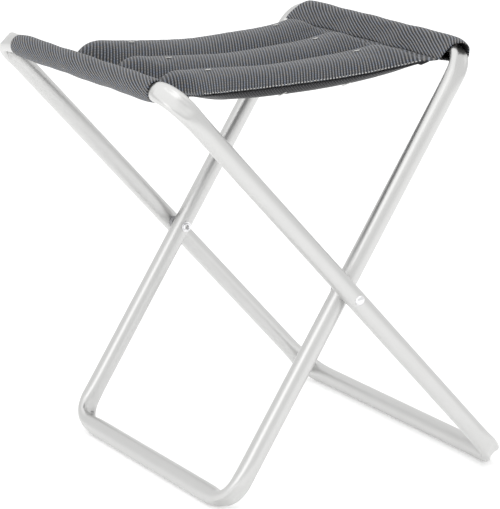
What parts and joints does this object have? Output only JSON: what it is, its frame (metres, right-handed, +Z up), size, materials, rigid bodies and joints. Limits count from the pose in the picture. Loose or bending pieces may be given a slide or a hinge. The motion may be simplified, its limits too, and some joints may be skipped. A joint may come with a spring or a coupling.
{
  "type": "folding camp stool",
  "caption": "Folding camp stool with two crossed rectangular tube loops that turn on side rivets and a padded fabric sling seat between their upper bars.",
  "frame": {"origin": "Bottom centre of the open stool's box, on the floor.", "axes": "+Z up; Y along both seat bars and the fold axis, the near side is -Y; +X toward the seat bar of the inner frame."},
  "size_m": [0.4095, 0.3982, 0.4545],
  "materials": {
    "frame_aluminium": "satin anodised silver",
    "rivet_chrome": "bright plated",
    "nylon": "moulded, matte",
    "seat_fabric": "ribbed charcoal and grey weave",
    "backing_fabric": "plain dark weave",
    "black_lining": "smooth black lining cloth",
    "thread": "light grey sewing thread",
    "seat_foam": "dark grey open-cell foam"
  },
  "bodies": {
    "outer_frame": {"outer_frame_tube": "frame_aluminium", "outer_tube_splice": "frame_aluminium", "pivot_rivet_near": "rivet_chrome", "pivot_rivet_far": "rivet_chrome", "leg_spacer_near": "nylon", "leg_spacer_far": "nylon", "rivet_washer_near": "rivet_chrome", "rivet_washer_far": "rivet_chrome", "outer_bar_sleeve": "seat_fabric", "outer_sleeve_lining": "black_lining", "outer_sleeve_hem_stitching": "thread", "outer_seam_tape": "black_lining", "seat_top_cloth": "seat_fabric", "seat_backing_cloth": "backing_fabric", "seat_foam_near": "seat_foam", "seat_foam_middle": "seat_foam", "seat_foam_far": "seat_foam", "seat_edge_stitching_near": "thread", "seat_edge_stitching_far": "thread", "seat_bar_tacks": "thread"},
    "inner_frame": {"inner_frame_tube": "frame_aluminium", "inner_tube_splice": "frame_aluminium", "pivot_bush_near": "nylon", "pivot_bush_far": "nylon", "inner_bar_sleeve": "seat_fabric", "inner_sleeve_lining": "black_lining", "inner_sleeve_hem_stitching": "thread", "inner_seam_tape": "black_lining"}
  },
  "joints": [
    {"name": "fold", "type": "hinge", "parent": "outer_frame", "child": "inner_frame", "pos_m": [0.01116, 0, 0.2114], "axis": [0, -1, 0], "range_deg": [0, 63], "deforming": ["seat_top_cloth", "seat_backing_cloth", "seat_foam_near", "seat_foam_middle", "seat_foam_far", "seat_edge_stitching_near", "seat_edge_stitching_far", "seat_bar_tacks"]}
  ]
}
